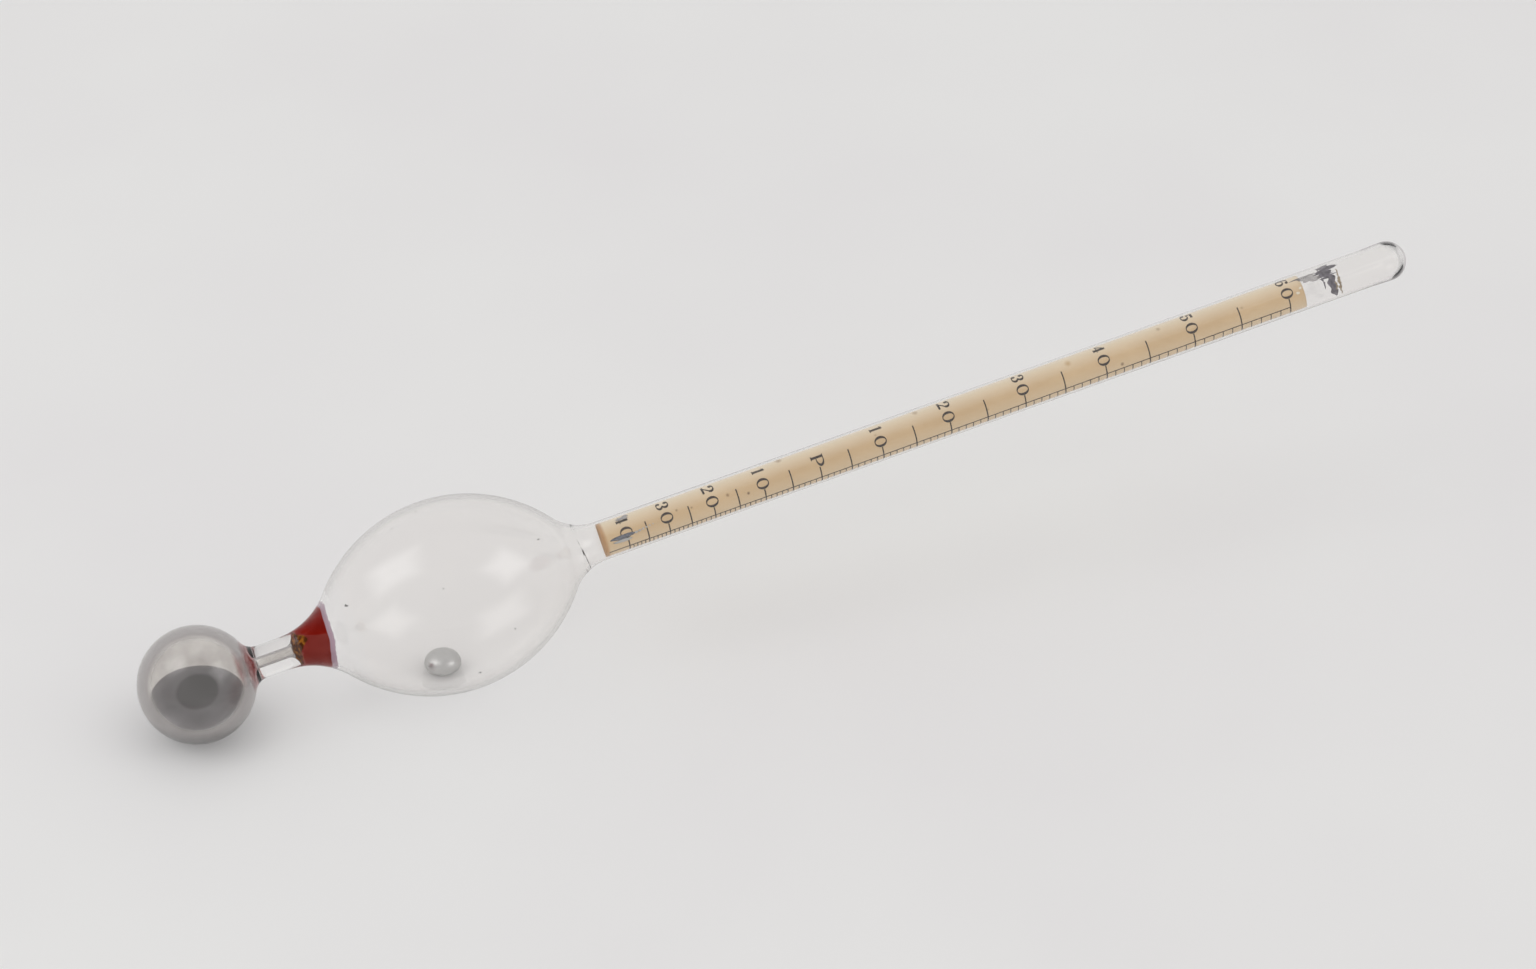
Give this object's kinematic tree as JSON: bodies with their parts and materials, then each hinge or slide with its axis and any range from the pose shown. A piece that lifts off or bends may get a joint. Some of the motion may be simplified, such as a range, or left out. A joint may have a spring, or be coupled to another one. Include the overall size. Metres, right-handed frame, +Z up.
{
  "type": "hydrometer",
  "caption": "Blown glass spirit hydrometer lying on its bulbs: mercury-ballasted ball, fine neck sealed with red wax, float bulb and closed stem with a rolled paper proof scale.",
  "frame": {"origin": "bottom centre of the instrument's box as it lies: the table surface, midway between the foot of the ballast bulb and the tip", "axes": "+X along the instrument towards the tip of the stem, +Z up from the table; the instrument's own axis lies in the XZ plane and rises 8.49 degrees towards the tip, because the ballast bulb and the float bulb both rest on the table"},
  "size_m": [0.275, 0.0392, 0.0547],
  "materials": {
    "glass": "lamp-blown soda-lime glass, clear, faintly grey, smooth",
    "scale_paper": "aged rag paper, tan, foxed, matt",
    "ink": "brown-black printing ink on the paper, matt",
    "sealing_wax": "red shellac sealing wax, melted in, satin",
    "stopper": "dark brown resin-soaked stopper with an amber edge",
    "mercury": "liquid mercury, mirror bright with a slight grey skin",
    "cement": "dried dark cement with mercury grey, crumbly",
    "glue": "dried clear glue, glossy"
  },
  "bodies": {
    "glass": {"ballast_bulb": "glass", "neck_tube": "glass", "float_bulb": "glass", "stem_tube": "glass", "stem_tip": "glass", "scale_paper": "scale_paper", "scale_ruled_line": "ink", "scale_graduations": "ink", "scale_figures": "ink", "wax_plug": "sealing_wax", "bore_stopper": "stopper", "stem_mercury_smear": "mercury", "stem_mercury_beads": "mercury", "cement_ring": "cement", "cement_smear": "cement", "glue_dabs": "glue"},
    "pool": {"ballast_mercury": "mercury"},
    "bead": {"mercury_bead": "mercury"}
  },
  "joints": [
    {"name": "pool_levels", "type": "hinge", "parent": "glass", "child": "pool", "pos_m": [-0.12564, 0, 0.0119], "axis": [0, 1, 0], "range_deg": [-98, 81]},
    {"name": "bead_rolls", "type": "hinge", "parent": "glass", "child": "bead", "pos_m": [-0.07457, 0, 0.0315], "axis": [0, 1, 0], "range_deg": [-51, 31]}
  ]
}
